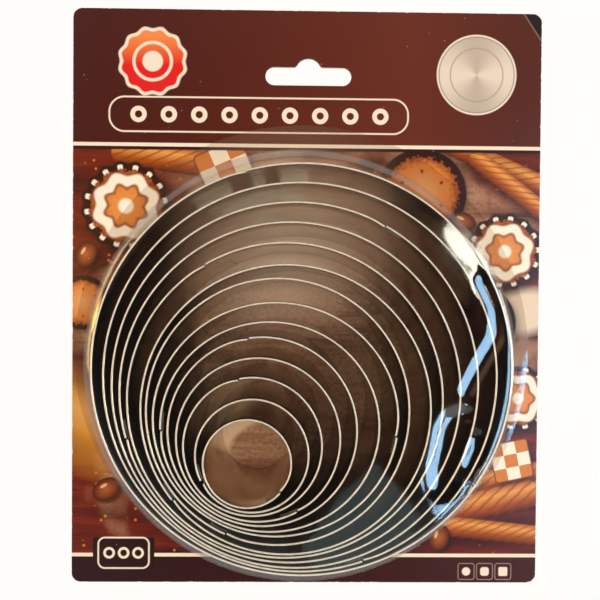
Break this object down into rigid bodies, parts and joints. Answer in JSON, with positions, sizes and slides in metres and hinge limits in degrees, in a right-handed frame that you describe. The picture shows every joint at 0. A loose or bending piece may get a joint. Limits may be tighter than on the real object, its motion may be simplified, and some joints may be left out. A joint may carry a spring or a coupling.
{
  "type": "round biscuit cutter set on a blister card",
  "caption": "Nested round steel biscuit cutters with hemmed rims, one size inside the next, under a clear blister cup on a hang card.",
  "frame": {"origin": "middle of the card's back face, on which the pack lies", "axes": "+Z out of the card's front face, +Y to the hang hole, +X to the right as the card is read"},
  "size_m": [0.155, 0.19, 0.032],
  "materials": {
    "card": "printed board with a varnished face",
    "clear_plastic": "clear thermoformed sheet",
    "steel": "rolled stainless strip"
  },
  "bodies": {
    "card": {"backing_card": "card"},
    "cutter_14": {"cutter_14": "steel"},
    "cutter_13": {"cutter_13": "steel"},
    "cutter_12": {"cutter_12": "steel"},
    "cutter_11": {"cutter_11": "steel"},
    "cutter_10": {"cutter_10": "steel"},
    "cutter_09": {"cutter_09": "steel"},
    "cutter_08": {"cutter_08": "steel"},
    "cutter_07": {"cutter_07": "steel"},
    "cutter_06": {"cutter_06": "steel"},
    "cutter_05": {"cutter_05": "steel"},
    "cutter_04": {"cutter_04": "steel"},
    "cutter_03": {"cutter_03": "steel"},
    "cutter_02": {"cutter_02": "steel"},
    "cutter_01": {"cutter_01": "steel"},
    "blister": {"blister": "clear_plastic"}
  },
  "joints": [
    {"name": "cutter_14_lift", "type": "slide", "parent": "card", "child": "cutter_14", "axis": [0, 0, 1], "range_m": [0, 0.034]},
    {"name": "cutter_13_lift", "type": "slide", "parent": "cutter_14", "child": "cutter_13", "axis": [0, 0, 1], "range_m": [0, 0.034]},
    {"name": "cutter_12_lift", "type": "slide", "parent": "cutter_13", "child": "cutter_12", "axis": [0, 0, 1], "range_m": [0, 0.034]},
    {"name": "cutter_11_lift", "type": "slide", "parent": "cutter_12", "child": "cutter_11", "axis": [0, 0, 1], "range_m": [0, 0.034]},
    {"name": "cutter_10_lift", "type": "slide", "parent": "cutter_11", "child": "cutter_10", "axis": [0, 0, 1], "range_m": [0, 0.034]},
    {"name": "cutter_09_lift", "type": "slide", "parent": "cutter_10", "child": "cutter_09", "axis": [0, 0, 1], "range_m": [0, 0.034]},
    {"name": "cutter_08_lift", "type": "slide", "parent": "cutter_09", "child": "cutter_08", "axis": [0, 0, 1], "range_m": [0, 0.034]},
    {"name": "cutter_07_lift", "type": "slide", "parent": "cutter_08", "child": "cutter_07", "axis": [0, 0, 1], "range_m": [0, 0.034]},
    {"name": "cutter_06_lift", "type": "slide", "parent": "cutter_07", "child": "cutter_06", "axis": [0, 0, 1], "range_m": [0, 0.034]},
    {"name": "cutter_05_lift", "type": "slide", "parent": "cutter_06", "child": "cutter_05", "axis": [0, 0, 1], "range_m": [0, 0.034]},
    {"name": "cutter_04_lift", "type": "slide", "parent": "cutter_05", "child": "cutter_04", "axis": [0, 0, 1], "range_m": [0, 0.034]},
    {"name": "cutter_03_lift", "type": "slide", "parent": "cutter_04", "child": "cutter_03", "axis": [0, 0, 1], "range_m": [0, 0.034]},
    {"name": "cutter_02_lift", "type": "slide", "parent": "cutter_03", "child": "cutter_02", "axis": [0, 0, 1], "range_m": [0, 0.034]},
    {"name": "cutter_01_lift", "type": "slide", "parent": "cutter_02", "child": "cutter_01", "axis": [0, 0, 1], "range_m": [0, 0.034]},
    {"name": "blister_lift", "type": "slide", "parent": "cutter_01", "child": "blister", "axis": [0, 0, 1], "range_m": [0, 0.034]}
  ]
}
